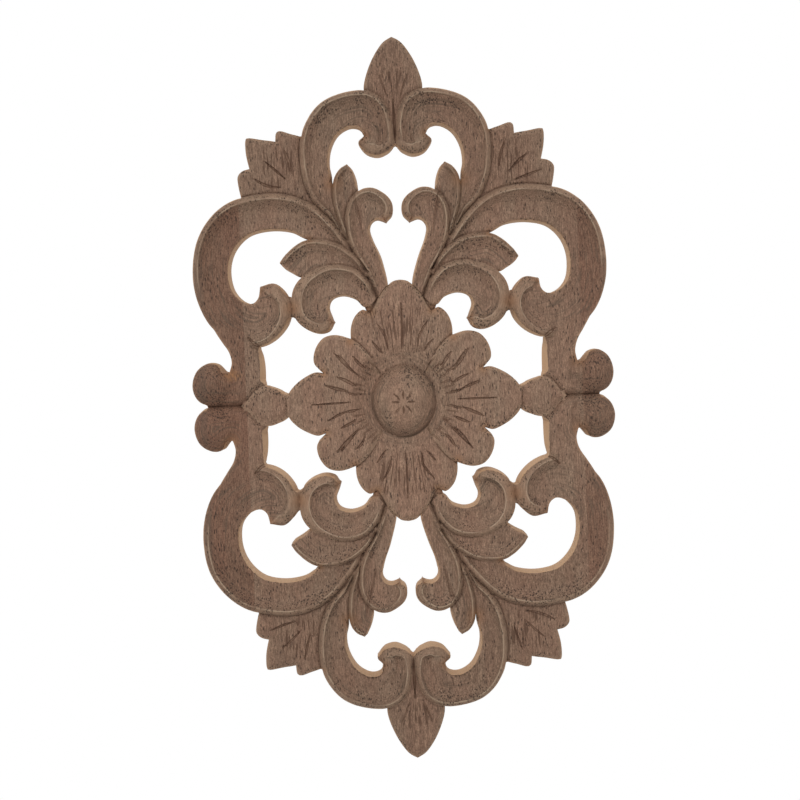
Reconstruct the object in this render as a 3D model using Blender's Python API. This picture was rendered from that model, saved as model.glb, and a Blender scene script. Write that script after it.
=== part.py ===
"""Carved wooden panel: a pierced rosette applique with scrolls, leaves and a flower.

The panel stands upright: +Z runs up its length, +X to the right, the carving faces -Y
and the flat back lies on the plane y = 0, with the origin behind the middle of the flower.
The design repeats four times, so one quarter is drawn, in millimetres of a panel 200 mm
long: u runs from the middle to the right and v from the middle to the top.
"""

import bmesh
import bpy
import numpy as np
from mathutils import Vector
from mathutils.geometry import delaunay_2d_cdt

# Driving dimensions, in metres
PANEL_LENGTH = 0.200
PANEL_DEPTH = 0.010

# The drawing's own size, in millimetres
DRAWN_LENGTH = 200.0
DRAWN_DEPTH = 10.0
QUARTER = (58.0, 100.0)

# Heights above the back, in the drawing's millimetres
CREST = 8.0
COVE = 5.6
LIP = 6.6
ROOT = 6.0
STEM = 6.9
BALL = 8.0
DISH = 5.0
PETAL = 7.2
UNDER_PETAL = 6.4
NECK = 4.6
WEB = 4.8
LEAF = 6.0
FINIAL = 6.6
BUD = 6.0

# The boss and the dish around it
BOSS_RADII = (8.8, 9.8)
BOSS_FULLNESS = 2.4
DISH_RADIUS = 9.5
DISH_STRETCH = 1.08
PETAL_RISE = 6.5

# Shape of the bands: where they rise from the root, and their shoulder, bed and lip
ROOT_SHARE = 0.12
RIM_LIMIT = 0.45
SHOULDER = 1.5
BED_SHARE = 0.42
ARRIS = 0.8
ARRIS_DROP = 0.4
BALL_DROP = 2.3
BALL_REACH = 1.4
BALL_BLEND = 0.5

# Rounding of the petals' edges, and how steeply one shape steps down to the next
PETAL_EDGE = 1.8
PETAL_DROP = 0.9
SOFT_EDGE = 1.4
STEP_SLOPE = 4.0
STEP_WIDTH = 0.4

# The V-tool's cuts
GOUGE_DEPTH = 0.6
GOUGE_HALF_WIDTH = 0.45
CURL_GROOVE = (1.2, 2.2)

# Spacing of the points that the surface is built on
FINE = 0.5
SPACING = 2.4
CLOSEST = 0.6
SHARPEST_TURN = 0.45
INNER_SPACING = 4.5
ROW_RATIO = 0.87
KEEP_AWAY = 0.42
MERGE = 0.3
AXIS_SNAP = 0.25
CLEARANCE = 0.35
TOLERANCE = 0.02


def curve(*points):
    """A smooth line through a few points, as closely spaced samples."""
    knots = np.array(points, float)
    knots = np.vstack([2 * knots[0] - knots[1], knots, 2 * knots[-1] - knots[-2]])
    pieces = []
    for a, b, c, d in zip(knots, knots[1:], knots[2:], knots[3:]):
        count = max(2, int(np.linalg.norm(c - b) / FINE))
        t = np.linspace(0, 1, count, endpoint=False)[:, None]
        ends = 2 * b + (c - a) * t
        bend = (2 * a - 5 * b + 4 * c - d) * t ** 2 + (3 * b - a - 3 * c + d) * t ** 3
        pieces.append((ends + bend) / 2)
    return np.vstack(pieces + [knots[-2:-1]])


def chain(*lines):
    """Several lines in a row, meeting in corners."""
    return np.vstack(lines)


def dense(line):
    """The same line, with its long straight stretches divided finely."""
    pieces = []
    for start, end in zip(line, line[1:]):
        count = max(1, int(np.linalg.norm(end - start) / FINE))
        pieces.append(start + (end - start) * np.linspace(0, 1, count, endpoint=False)[:, None])
    return np.vstack(pieces + [line[-1:]])


def smooth(t):
    """An S-shaped step from 0 to 1."""
    t = np.clip(t, 0, 1)
    return t * t * (3 - 2 * t)


def nearest(points, line):
    """Distance from each point to a line, and how far along the line, from 0 to 1."""
    start, span = line[:-1], np.diff(line, axis=0)
    length = np.linalg.norm(span, axis=1)
    start, span, length = start[length > 0], span[length > 0], length[length > 0]
    before = np.concatenate([[0], np.cumsum(length)[:-1]])
    offset = points[:, None] - start
    share = np.clip((offset * span).sum(-1) / length ** 2, 0, 1)
    away = np.linalg.norm(offset - share[..., None] * span, axis=-1)
    best = away.argmin(1)
    rows = np.arange(len(points))
    along = (before[best] + share[rows, best] * length[best]) / length.sum()
    return away[rows, best], along


def inside(points, outline):
    """Which points lie within a closed outline."""
    x, y = points[:, :1], points[:, 1:]
    x0, y0 = outline[:, 0], outline[:, 1]
    x1, y1 = np.roll(x0, -1), np.roll(y0, -1)
    spans = (y0 > y) != (y1 > y)
    rise = np.where(y1 == y0, 1, y1 - y0)
    crossing = x0 + (y - y0) * (x1 - x0) / rise
    return (spans & (x < crossing)).sum(1) % 2 == 1


class Motif:
    """One drawn shape between two edges that run from its root to its tip."""

    def __init__(self, outer, inner, profile, joined=False, **shape):
        self.joined = joined
        self.outer = outer
        self.inner = inner
        self.outline = chain(outer, inner[::-1])
        self.edges = [outer, inner] if profile is band else [outer]
        self.profile = profile
        self.shape = shape

    def depth_inside(self, points):
        """Signed distance to the outline, positive within it."""
        away, _ = nearest(points, chain(self.outline, self.outline[:1]))
        return np.where(inside(points, self.outline), away, -away)

    def height(self, points):
        """Height of the carved surface, for points within the outline."""
        return self.profile(points, self, **self.shape)


def rim_width(along, room, rim, swell):
    """Width of a band's shoulder, which changes between two places along the band."""
    change = smooth((along - swell[0]) / (swell[1] - swell[0]))
    return np.minimum(rim[0] + (rim[1] - rim[0]) * change, RIM_LIMIT * room)


def band(points, motif, rim, swell=(0, 1), crest=CREST, cove=COVE, lip=LIP, saddle=None, ball=None):
    """A scroll or leaf: rounded shoulder, thin crest, hollow bed and a soft inner lip.

    A saddle lowers its crest around one place, and a ball rounds it up around another.
    """
    to_outer, along = nearest(points, motif.outer)
    to_inner, _ = nearest(points, motif.inner)
    width = np.maximum(to_outer + to_inner, 0.01)
    edge = rim_width(along, width, rim, swell)
    top = ROOT + (crest - ROOT) * smooth(along / ROOT_SHARE)
    if saddle:
        place, reach = saddle
        near = np.exp(-((points - place) ** 2).sum(1) / reach ** 2)
        top = top - (crest - cove) * near
    bed = np.minimum(cove, top)
    across = np.clip((to_outer - edge) / np.maximum(width - edge, 0.01), 0, 1)
    fall = np.sin(np.pi / 2 * np.clip(across / BED_SHARE, 0, 1))
    rise = smooth((across - BED_SHARE) / (1 - BED_SHARE))
    hollow = top - (top - bed) * fall + (np.minimum(lip, top) - bed) * rise
    hollow = hollow - ARRIS_DROP * (1 - np.clip(to_inner / ARRIS, 0, 1)) ** 2
    shoulder = top - SHOULDER * (1 - np.clip(to_outer / np.maximum(edge, 0.01), 0, 1)) ** 2
    height = np.where(to_outer < edge, shoulder, hollow)
    if ball:
        place, radius = ball
        away = np.linalg.norm(points - place, axis=1) / radius
        share = smooth((BALL_REACH - away) / BALL_BLEND)
        height = height + (BALL - BALL_DROP * away ** 2 - height) * share
    return height


def pillow(points, motif, top=LEAF, round_off=0.9, reach=1.6):
    """A nearly flat leaf with softly rounded edges."""
    to_edge, _ = nearest(points, motif.outer)
    return top - round_off * (1 - np.clip(to_edge / reach, 0, 1)) ** 2


def petal(points, motif, top=PETAL):
    """A petal: it rises from the dish around the boss and rounds off at its edge."""
    ring = np.linalg.norm(points / (1.0, DISH_STRETCH), axis=1)
    rise = DISH + (top - DISH) * smooth((ring - DISH_RADIUS) / PETAL_RISE)
    to_edge, _ = nearest(points, motif.outer)
    return rise - PETAL_DROP * (1 - np.clip(to_edge / PETAL_EDGE, 0, 1)) ** 2


def dome(points, motif, base=DISH, top=DRAWN_DEPTH):
    """The boss in the flower's middle, a low dome with a soft foot."""
    ring = np.linalg.norm(points / BOSS_RADII, axis=1)
    return base + (top - base) * np.sqrt(np.clip(1 - ring ** BOSS_FULLNESS, 0, 1))


def corner_leaf():
    first = curve((25.2, 74.1), (28.5, 74.9), (31.5, 75.9), (32.9, 75.1), (33.1, 72.9))
    second = curve((33.1, 72.9), (36.5, 73.5), (40.1, 73.8), (41.1, 72.7), (40.9, 68.7), (40.3, 65.5))
    third = curve((40.3, 65.5), (42.6, 64.3), (43.4, 62.1), (42.7, 57.5))
    hidden = np.array([(22.0, 70.0), (20.0, 53.0), (40.0, 54.5)])
    return Motif(chain(first, second, third), hidden, pillow, top=LEAF)


def finial():
    edge = curve((0, 100.0), (2.6, 98.3), (5.2, 94.6), (7.0, 90.6), (7.9, 87.2), (8.0, 84.5))
    stem = curve((4.0, 80.5), (1.9, 77.0), (1.6, 73.0), (1.2, 70.4), (0, 69.9))
    return Motif(edge, stem[::-1], pillow, top=FINIAL)


def web():
    """The low ground that joins the roots of the shoots and leaves."""
    below = np.array([(5.0, 22.0), (9.4, 25.0), (10.2, 27.4), (14.0, 34.0), (24.0, 40.0), (24.4, 44.9)])
    above = np.array([(4.2, 30.0), (5.4, 34.5), (9.0, 42.0), (13.0, 50.0), (17.2, 57.0), (23.0, 57.0),
                      (24.4, 50.0)])
    return Motif(below, above, pillow, top=WEB, round_off=0.0)


def neck():
    top = np.array([(28.0, 30.6), (30.0, 29.4), (32.0, 30.4)])
    low = np.array([(28.0, 22.8), (30.0, 24.2), (32.0, 22.8)])
    return Motif(top, low, pillow, top=NECK, round_off=0.3)


def top_scroll():
    outer = curve((10.6, 39.0), (17.5, 49.5), (22.4, 54.8), (25.2, 60.5), (26.3, 67.0), (25.9, 73.5),
                  (23.6, 78.9), (19.8, 83.0), (14.5, 85.2), (8.5, 85.8), (4.2, 84.2), (1.7, 81.0),
                  (0.7, 76.6), (0.6, 72.2), (2.0, 68.8), (5.0, 67.4), (8.2, 68.4), (10.1, 71.6), (8.8, 73.5))
    inner = curve((10.4, 40.0), (16.2, 48.5), (17.6, 55.0), (17.8, 61.3), (18.5, 65.5), (17.8, 69.6),
                  (15.6, 73.4), (12.4, 75.4), (9.8, 75.2), (8.4, 73.7))
    return Motif(outer, inner, band, rim=(1.3, 3.3), swell=(0.72, 0.95))


def side_stem():
    outer = curve((42.5, 18.6), (40.2, 17.4), (39.1, 14.8), (38.6, 12.0), (38.5, 8.5), (39.3, 5.0),
                  (41.5, 1.6), (45.0, 0.0), (51.0, 0.0), (55.2, 0.0), (57.5, 2.4), (58.3, 6.2),
                  (57.1, 10.0), (54.2, 12.0), (51.0, 11.8), (48.5, 9.4))
    inner = curve((53.0, 23.4), (51.5, 20.5), (49.8, 17.8), (48.0, 14.9), (47.4, 12.0), (48.2, 9.4))
    return Motif(outer, inner, band, joined=True, rim=(5.2, 3.0), swell=(0.3, 0.6), crest=STEM,
                 ball=((53.2, 6.3), 5.4))


def c_scroll():
    outer = curve((10.4, 38.4), (13.9, 44.4), (17.6, 49.4), (22.2, 54.2), (27.5, 57.2), (33.5, 58.5),
                  (40.0, 58.1), (46.5, 56.3), (51.7, 52.4), (55.3, 46.8), (56.9, 40.5), (57.0, 33.5),
                  (55.4, 27.0), (52.4, 21.8), (47.5, 18.0), (42.5, 16.4), (38.0, 16.6), (33.8, 18.8),
                  (30.8, 22.4), (30.0, 26.5), (31.2, 30.4), (34.4, 33.2), (38.4, 32.9))
    inner = curve((11.2, 37.6), (19.0, 43.6), (25.4, 45.6), (29.5, 47.6), (35.0, 48.2), (40.5, 47.0),
                  (44.4, 43.4), (46.3, 38.6), (46.2, 33.2), (44.3, 29.9), (41.3, 28.4), (39.2, 29.8),
                  (38.6, 32.7))
    return Motif(outer, inner, band, rim=(1.3, 3.1), swell=(0.76, 0.9), saddle=((50.6, 20.2), 3.6))


def leaf_b():
    outer = curve((9.4, 37.0), (13.4, 43.4), (15.8, 48.2), (17.3, 53.2), (17.8, 58.0), (17.4, 61.6),
                  (15.9, 64.1), (13.8, 65.6))
    inner = curve((7.6, 38.0), (10.0, 48.0), (10.6, 56.0), (11.0, 60.6), (12.2, 64.2), (13.6, 65.6))
    return Motif(outer, inner, band, rim=(0.9, 0.9), crest=7.3, cove=5.8, lip=6.0)


def shoot_a():
    outer = curve((6.4, 29.0), (8.9, 35.5), (11.9, 40.6), (13.8, 45.2), (14.4, 50.0), (13.8, 54.0),
                  (12.0, 57.0), (9.4, 58.6), (6.4, 58.8), (3.4, 57.3), (1.5, 54.8), (1.5, 51.6), (3.2, 49.5))
    inner = curve((3.0, 29.5), (3.7, 34.4), (5.4, 40.0), (7.2, 44.4), (7.9, 47.6), (7.1, 49.5),
                  (5.6, 50.2), (3.6, 49.5))
    return Motif(outer, inner, band, rim=(0.9, 1.8), swell=(0.6, 0.9), crest=7.6)


def leaf_e():
    outer = curve((9.0, 36.5), (11.0, 39.6), (14.0, 42.4), (17.6, 44.5), (21.5, 45.4), (25.4, 45.4),
                  (28.6, 43.8), (31.2, 41.5), (32.9, 39.4))
    inner = curve((9.0, 34.5), (12.5, 36.5), (17.0, 37.0), (24.0, 35.6), (27.4, 35.1), (29.8, 36.3),
                  (31.8, 37.6), (32.9, 39.1))
    return Motif(outer, inner, band, rim=(1.0, 1.0), crest=7.8, cove=5.8)


def curl_f():
    outer = curve((6.4, 29.0), (8.2, 33.0), (11.2, 36.4), (14.5, 38.0), (18.5, 38.4), (22.5, 37.6),
                  (26.4, 35.7), (29.1, 32.5), (30.1, 28.5), (29.4, 24.2), (26.8, 20.9), (23.0, 19.2),
                  (19.8, 19.8), (18.2, 22.2))
    inner = curve((8.2, 26.6), (10.2, 26.4), (12.2, 28.5), (15.6, 29.5), (18.6, 28.6), (19.6, 26.2),
                  (18.6, 23.2))
    return Motif(outer, inner, band, rim=(1.2, 2.7), swell=(0.3, 0.6))


def bud():
    edge = curve((32.0, 3.2), (34.5, 4.7), (38.2, 5.5), (41.2, 4.2), (43.2, 1.8), (45.3, 0.0))
    axis = np.array([(32.0, 0.0), (45.0, 0.0)])
    return Motif(edge, axis, pillow, top=BUD, round_off=1.2, reach=3.0)


def top_petal():
    lobe = curve((0, 33.4), (1.9, 33.0), (3.7, 31.6), (5.6, 29.2), (7.1, 26.4), (8.4, 24.4))
    side = curve((8.4, 24.4), (10.4, 25.6), (12.6, 23.8), (13.8, 21.0), (14.2, 17.0))
    hidden = np.array([(0, 5.0), (6.0, 5.0)])
    return Motif(chain(lobe, side), hidden, petal, top=UNDER_PETAL)


def side_petals():
    upper = curve((6.4, 8.0), (9.2, 13.0), (12.2, 16.4), (14.8, 17.9), (18.5, 18.7), (21.8, 17.8),
                  (24.0, 14.8), (24.4, 11.2), (22.0, 8.3))
    lower = curve((22.0, 8.3), (24.6, 8.7), (28.6, 6.7), (31.2, 4.3), (32.3, 2.6))
    hidden = np.array([(5.0, 0.0), (32.3, 0.0)])
    return Motif(chain(upper, lower), hidden, petal, top=PETAL)


def quarter_ring(radii, steps=40):
    """A quarter of an ellipse, from the upright axis to the level one."""
    turn = np.linspace(np.pi / 2, 0, steps)
    return np.stack([radii[0] * np.cos(turn), radii[1] * np.sin(turn)], 1)


def boss():
    return Motif(quarter_ring(BOSS_RADII), np.array([(0.0, 0.0), (0.01, 0.0)]), dome)


def motifs():
    """The quarter's shapes, from the lowest layer to the one cut last, on top."""
    return [web(), corner_leaf(), finial(), neck(), top_scroll(), c_scroll(), side_stem(), leaf_b(),
            shoot_a(), leaf_e(), curl_f(), bud(), top_petal(), side_petals(), boss()]


def gouges():
    """Single cuts of the V-tool, each with its half-width and depth."""
    finial_cuts = [((0, 73.0), (0, 92.0)), ((1.6, 82.0), (1.9, 90.5)), ((3.4, 84.0), (4.4, 91.0))]
    leaf_cuts = [((26.9, 71.0), (26.9, 59.0)), ((31.0, 71.5), (28.5, 62.0)), ((36.2, 67.4), (31.0, 61.6)),
                 ((39.8, 62.4), (32.2, 59.9))]
    top_cuts = [((0, 14.5), (0, 28.0)), ((1.7, 15.0), (2.3, 28.0)), ((3.6, 15.0), (5.0, 24.0)),
                ((5.8, 14.0), (8.4, 18.0))]
    side_cuts = [((11.0, 10.0), (14.0, 13.6)), ((13.5, 8.2), (19.4, 14.5)), ((14.0, 5.2), (18.6, 7.2)),
                 ((14.8, 2.7), (21.8, 5.2)), ((15.0, 0), (25.5, 0))]
    star = [((1.0, 0), (3.0, 0)), ((0, 1.0), (0, 3.2)), ((0.8, 0.8), (2.3, 2.5))]
    cuts = finial_cuts + leaf_cuts + top_cuts + side_cuts + star
    fine = [(np.array(cut, float), GOUGE_HALF_WIDTH, GOUGE_DEPTH) for cut in cuts]
    between_curls = np.array([(45.0, 0.0), (55.0, 0.0)])
    return fine + [(between_curls, *CURL_GROOVE)]


def surface(points, shapes, cuts):
    """Height of the finished carving over the back, at each point of the quarter."""
    height = np.zeros(len(points))
    for motif in shapes:
        depth = motif.depth_inside(points)
        own = motif.height(points)
        within = depth > -TOLERANCE
        own = np.maximum(own, height) if motif.joined else own
        skirt = own + STEP_SLOPE * np.minimum(depth, 0)
        height = np.where(within, own, np.maximum(height, skirt))
    for cut, half_width, depth in cuts:
        away, along = nearest(points, cut)
        half = half_width * np.sin(np.pi * np.clip(along, 0.02, 0.98)) ** 0.5
        height = height - depth * np.clip(1 - away / half, 0, 1)
    return height


def owner(points, shapes):
    """Number of the uppermost shape at each point, or -1 outside them all."""
    top = np.full(len(points), -1)
    for number, motif in enumerate(shapes):
        top[motif.depth_inside(points) > -TOLERANCE] = number
    return top


def thinned(line):
    """The same line with fewer points: close together only where it bends."""
    kept = [line[0]]
    turned = 0.0
    for before, here, after in zip(line, line[1:], line[2:]):
        step, following = here - before, after - here
        cross = step[0] * following[1] - step[1] * following[0]
        turned += abs(np.arctan2(cross, step @ following))
        gone = np.linalg.norm(here - kept[-1])
        if gone >= SPACING or (turned >= SHARPEST_TURN and gone >= CLOSEST):
            kept.append(here)
            turned = 0.0
    kept.append(line[-1])
    return np.array(kept)


def inward(motif, line, distance):
    """A line moved off a shape's edge, to the inside where the distance is positive."""
    step = np.gradient(line, axis=0)
    side = np.stack([step[:, 1], -step[:, 0]], 1) / np.linalg.norm(step, axis=1)[:, None]
    probe = motif.depth_inside(line + 0.05 * side)
    side = side * np.sign(np.median(probe))
    return line + side * np.reshape(distance, (-1, 1))


def crest_and_bed(motif):
    """The two lines along a band: its crest, and the bottom of its hollow bed."""
    to_inner, _ = nearest(motif.outer, motif.inner)
    along = np.linspace(0, 1, len(motif.outer))
    edge = rim_width(along, to_inner, motif.shape["rim"], motif.shape.get("swell", (0, 1)))
    bed = edge + (to_inner - edge) * BED_SHARE
    return [inward(motif, motif.outer, edge), inward(motif, motif.outer, bed)]


def rings():
    """Quarter rings over the boss and the dish around it."""
    over_boss = [quarter_ring(BOSS_RADII) * share for share in (0.5, 0.86)]
    return over_boss + [quarter_ring((radius, DISH_STRETCH * radius)) for radius in (12.0, 16.0)]


def runs(line, keep):
    """The unbroken stretches of a line whose points are kept."""
    marks = np.flatnonzero(np.diff(np.concatenate([[0], keep, [0]]).astype(int)))
    return [line[start:end] for start, end in zip(marks[::2], marks[1::2])]


def clear_runs(line, keep, later):
    """The kept stretches of a line that stay clear of the edges of later shapes."""
    keep = keep & (line.min(1) > -1e-9)
    for motif in later:
        for edge in motif.edges:
            keep &= nearest(line, edge)[0] > CLEARANCE
    return [run for run in runs(line, keep) if len(run) > 3]


def outline_runs(number, shapes):
    """The stretches of a shape's outline that no later shape covers."""
    line = np.maximum(dense(chain(shapes[number].outline, shapes[number].outline[:1])), 0)
    bare = owner(line, shapes[number + 1:]) < 0
    if shapes[number].joined:
        bare &= owner(line, shapes[:number]) < 0
    spread = bare | np.roll(bare, 1) | np.roll(bare, -1)
    return [thinned(run) for run in runs(line, spread) if len(run) > 1]


def relief_lines(shapes):
    """Every line that the front surface bends along, apart from the outlines."""
    lines = []
    for number, motif in enumerate(shapes):
        own = crest_and_bed(motif) if motif.profile is band else [inward(motif, motif.outer, SOFT_EDGE)]
        for line in own:
            shows = abs(surface(line, shapes, []) - motif.height(line)) < 0.05
            lines += clear_runs(line, shows, shapes[number:])
        foot = inward(motif, motif.outer, -STEP_WIDTH)
        lower = owner(foot, shapes)
        lies_on_another = (lower >= 0) & (lower < number) & (not motif.joined)
        lines += clear_runs(foot, lies_on_another, shapes)
    axes = [dense(np.array([(0.0, 0.0), end])) for end in np.diag(QUARTER)]
    for line in rings() + axes:
        lines += clear_runs(line, owner(line, shapes) >= 0, [])
    return [thinned(line) for line in lines]


def cut_lines(cuts):
    """Each cut as a lens of three lines: its bottom and its two banks."""
    lines = []
    for cut, half_width, _ in cuts:
        start, end = cut[0], cut[-1]
        along = (end - start) / np.linalg.norm(end - start)
        side = half_width * np.array([-along[1], along[0]])
        middle = (start + end) / 2
        for shift in (0, side, -side):
            lens = np.array([start, middle + shift, end])
            if lens.min() >= 0:
                lines.append(lens)
    return lines


def lattice(taken, shapes):
    """Points spread over the open areas, away from the points already used."""
    rows = np.arange(1.0, QUARTER[1], INNER_SPACING * ROW_RATIO)
    grid = np.array([(u, v) for row, v in enumerate(rows)
                     for u in np.arange(1.0 + INNER_SPACING / 2 * (row % 2), QUARTER[0], INNER_SPACING)])
    grid = grid[owner(grid, shapes) >= 0]
    away = np.linalg.norm(grid[:, None] - taken[None], axis=2).min(1)
    return grid[away > KEEP_AWAY * INNER_SPACING]


class PointPool:
    """Numbered points, where near neighbours share one number."""

    def __init__(self):
        self.points = []

    def add(self, point):
        point = np.where(abs(point) < AXIS_SNAP, 0.0, point)
        if self.points:
            away = np.linalg.norm(np.array(self.points) - point, axis=1)
            if away.min() < MERGE:
                return int(away.argmin())
        self.points.append(point)
        return len(self.points) - 1


def quarter_plan(shapes, cuts):
    """Triangles of the quarter's front in plan, along every outline, crest, bed and cut."""
    pool = PointPool()
    edges = []
    outlines = [run for number in range(len(shapes)) for run in outline_runs(number, shapes)]
    for line in outlines + cut_lines(cuts) + relief_lines(shapes):
        numbers = [pool.add(point) for point in line]
        edges += [(a, b) for a, b in zip(numbers, numbers[1:]) if a != b]
    taken = np.array(pool.points)
    points = [Vector(point) for point in np.vstack([taken, lattice(taken, shapes)])]
    found = delaunay_2d_cdt(points, edges, [], 0, 1e-4, False)
    plan = np.array(found[0])
    middles = plan[np.array(found[2])].mean(1)
    solid = np.zeros(len(middles), bool)
    for motif in shapes:
        solid |= inside(middles, motif.outline)
    return plan, [face for face, keep in zip(found[2], solid) if keep]


def border_edges(triangles):
    """Edges that belong to one triangle only, in that triangle's direction."""
    seen = {}
    for triangle in triangles:
        for a, b in zip(triangle, triangle[1:] + triangle[:1]):
            seen[(a, b)] = seen.get((a, b), 0) + 1
    return [edge for edge in seen if edge[::-1] not in seen]


def back_triangles(plan, border):
    """The flat back, filled between the border lines alone."""
    numbers = sorted({number for edge in border for number in edge})
    local = {number: place for place, number in enumerate(numbers)}
    points = [Vector(plan[number]) for number in numbers]
    edges = [(local[a], local[b]) for a, b in border]
    found = delaunay_2d_cdt(points, edges, [], 0, 1e-6, False)
    starts = plan[[a for a, _ in border]]
    ends = plan[[b for _, b in border]]
    triangles = []
    for triangle in found[2]:
        middle = sum((found[0][corner] for corner in triangle), Vector((0, 0))) / 3
        spans = (starts[:, 1] > middle.y) != (ends[:, 1] > middle.y)
        run, rise = (ends - starts)[spans].T
        crossing = starts[spans, 0] + (middle.y - starts[spans, 1]) * run / rise
        if (crossing > middle.x).sum() % 2:
            triangles.append([numbers[corner] for corner in triangle])
    return triangles


def quarter_solid():
    """Corners and faces of one quarter, open on the two planes where it is mirrored."""
    shapes, cuts = motifs(), gouges()
    plan, triangles = quarter_plan(shapes, cuts)
    plan[abs(plan) < 1e-3] = 0
    border = border_edges(triangles)
    heights = surface(plan, shapes, cuts)
    scale = PANEL_LENGTH / DRAWN_LENGTH
    deep = PANEL_DEPTH / DRAWN_DEPTH * heights
    front = np.column_stack([plan[:, 0] * scale, -deep, plan[:, 1] * scale])
    back = front * (1, 0, 1)
    count = len(plan)
    faces = [list(triangle) for triangle in triangles]
    for a, b in border:
        on_mirror = (plan[[a, b], 0].max() == 0) or (plan[[a, b], 1].max() == 0)
        if not on_mirror:
            faces.append([b, a, a + count, b + count])
    faces += [[corner + count for corner in reversed(face)] for face in back_triangles(plan, border)]
    return np.vstack([front, back]), faces


def wood():
    """Bare, unpainted hardwood in a greyish brown."""
    material = bpy.data.materials.new("bare_wood")
    material.use_nodes = True
    shader = material.node_tree.nodes["Principled BSDF"]
    shader.inputs["Base Color"].default_value = (0.22, 0.135, 0.09, 1)
    shader.inputs["Roughness"].default_value = 0.75
    shader.inputs["Metallic"].default_value = 0.0
    return material


def carved_panel():
    """The whole carving: one quarter, mirrored to the left and then downwards."""
    corners, faces = quarter_solid()
    mesh = bpy.data.meshes.new("carved_panel")
    mesh.from_pydata(corners.tolist(), [], faces)
    loose = bmesh.new()
    loose.from_mesh(mesh)
    bmesh.ops.delete(loose, geom=[v for v in loose.verts if not v.link_faces], context="VERTS")
    loose.to_mesh(mesh)
    loose.free()
    mesh.materials.append(wood())
    panel = bpy.data.objects.new("carved_panel", mesh)
    bpy.context.scene.collection.objects.link(panel)
    mirror = panel.modifiers.new("four_quarters", "MIRROR")
    mirror.use_axis = (True, False, True)
    mirror.merge_threshold = 0.00001
    mesh.shade_smooth()
    mesh.set_sharp_from_angle(angle=np.radians(32))
    return panel


def main():
    for leftover in list(bpy.data.objects):
        bpy.data.objects.remove(leftover, do_unlink=True)
    carved_panel()


main()
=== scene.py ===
import bpy
import numpy as np
from mathutils import Matrix, Vector, kdtree
from mathutils.geometry import delaunay_2d_cdt


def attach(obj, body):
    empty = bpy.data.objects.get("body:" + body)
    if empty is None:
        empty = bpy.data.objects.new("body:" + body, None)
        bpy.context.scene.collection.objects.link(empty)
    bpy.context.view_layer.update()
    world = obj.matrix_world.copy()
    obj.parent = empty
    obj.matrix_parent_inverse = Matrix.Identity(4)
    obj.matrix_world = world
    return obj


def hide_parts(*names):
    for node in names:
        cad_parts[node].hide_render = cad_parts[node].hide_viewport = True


# Looks of the carved wooden panel: the carving at full fineness, its bare wood, the stage and the camera.
# The design is drawn for one quarter in millimetres, u to the right and v up, as in the solid model.
# Each quarter gets its own hand-cut strokes, and the four are joined into one piece.

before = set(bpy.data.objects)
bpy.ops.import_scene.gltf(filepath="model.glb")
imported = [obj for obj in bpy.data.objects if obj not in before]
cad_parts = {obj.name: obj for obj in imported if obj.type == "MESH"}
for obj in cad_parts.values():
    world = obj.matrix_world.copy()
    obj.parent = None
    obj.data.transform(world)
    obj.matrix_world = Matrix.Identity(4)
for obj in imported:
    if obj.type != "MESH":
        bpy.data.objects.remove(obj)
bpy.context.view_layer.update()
MM = 0.001

# Heights above the back
CREST = 7.9
COVE = 6.0
LIP = 6.6
ROOT = 6.0
SHOULDER = 1.5
DISH = 5.0
PETAL = 7.2
UNDER_PETAL = 6.1
BALL = 8.0
NECK = 4.6
WEB = 4.8
SIDE_WEB = 3.9
LEAF = 6.0
FINIAL = 6.6
BUD = 6.0
BOSS = 10.0
BOSS_FOOT = DISH + 0.2

# The boss: radii, powers that shape its dome, and how far the cutter's path runs over it
BOSS_RADII = (8.7, 9.8)
BOSS_FLATNESS = 2.6
BOSS_STEEPNESS = 0.6
BOSS_TRACK = 9.3

# Sections of the scrolls and leaves: widths and depths in millimetres, and shares of a length or a width
STEP_SLOPE = 6.0
BED_SHARE = 0.42
RIM_SHARE = 0.5
ROOT_SHARE = 0.12
TIP_DROP = 0.7
ARRIS = 0.8
ARRIS_DROP = 0.4
FLUTE_DEPTH = 0.16
RIDGE_REACH = 0.6
BALL_DROP = 2.3
PETAL_EDGE = 1.6
PETAL_DROP = 0.75

# The dish around the boss: its radius, how much taller than wide it is, and how wide its slope is
DISH_RADIUS = 9.5
DISH_STRETCH = 1.08
DISH_SLOPE = 6.5

# The crease where one shape stands on another, sunk a little and given painted shade: where its shade
# starts, how far it reaches, and how deep it is
CREASE_INSET = 0.12
CREASE_REACH = 0.3
CREASE_DEPTH = 0.3

# Spacing of the mesh
FINE = 0.5
LINE_SPACING = 0.46
STROKE_SPACING = 0.7
SPACING = 0.5
ROW_SPACING = 0.87 * SPACING
GRID_START = 0.3
GRID_END = (59.0, 100.0)
GRID_CLEARANCE = 0.6 * SPACING
AXIS_ENDS = [(58.0, 0.0), (0.0, 100.0)]
MERGE = 0.14
AXIS_SNAP = 0.16
CLEARANCE = 0.22
FOOT = 0.26
RING_SHARES = (0.9, 0.96, 0.99)
WALL_ROWS = (0.62, 0.25, 0.0)
SHARP_EDGE = np.radians(38)
TOLERANCE = 0.02
NEARBY = 2.5
FAR = 4.0

# Unevenness of hand work: how far strokes stray, as a whole and point by point, how near the axes they come
# and fade, how their widths and depths vary, and the depth from which they are drawn at full strength
STROKE_SHIFT = 0.22
STROKE_SHAKE = 0.14
AXIS_ROOM = 0.55
AXIS_FADE = 0.5
STROKE_RANGE = (0.8, 1.15)
FULL_DEPTH = 0.3

# The V-tool's strokes: half-width and depth
PETAL_CUT = (0.4, 0.35)
UNDER_CUT = (0.32, 0.3)
LEAF_CUT = (0.36, 0.3)
STAR_CUT = (0.27, 0.25)
PAD_CUT = (0.36, 0.5)
FINIAL_CUT = (0.25, 0.2)
DISH_CUT = (0.24, 0.14)
SHOOT_CUT = (0.2, 0.1)
AXIS_CUT = (0.27, 0.3)
VALLEY_CUT = (0.34, 0.5)

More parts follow.
